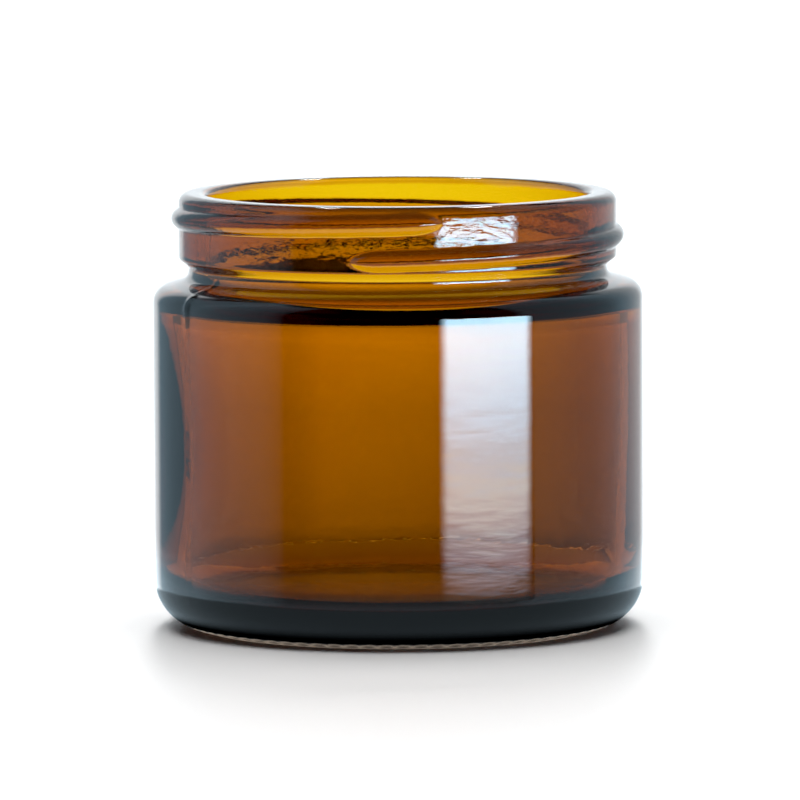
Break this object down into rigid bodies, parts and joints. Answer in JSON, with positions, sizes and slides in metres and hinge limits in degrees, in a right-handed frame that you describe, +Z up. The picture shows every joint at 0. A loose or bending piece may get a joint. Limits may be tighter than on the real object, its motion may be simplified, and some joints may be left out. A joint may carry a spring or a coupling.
{
  "type": "cosmetic cream jar",
  "caption": "Open wide-mouth jar of moulded amber glass with a threaded neck for a screw cap, a rounded shoulder and a thick base; holds cream or ointment.",
  "frame": {"origin": "centre of the circle that the jar stands on, in the plane of the standing ring", "axes": "+Z up the jar's axis, out of the mouth; -Y is the front, the side between the two ends of the thread; +X to the right of the front"},
  "size_m": [0.054, 0.054, 0.048],
  "materials": {
    "amber_glass": "polished as moulded, clear amber"
  },
  "bodies": {
    "root": {"jar_body": "amber_glass"}
  },
  "joints": []
}
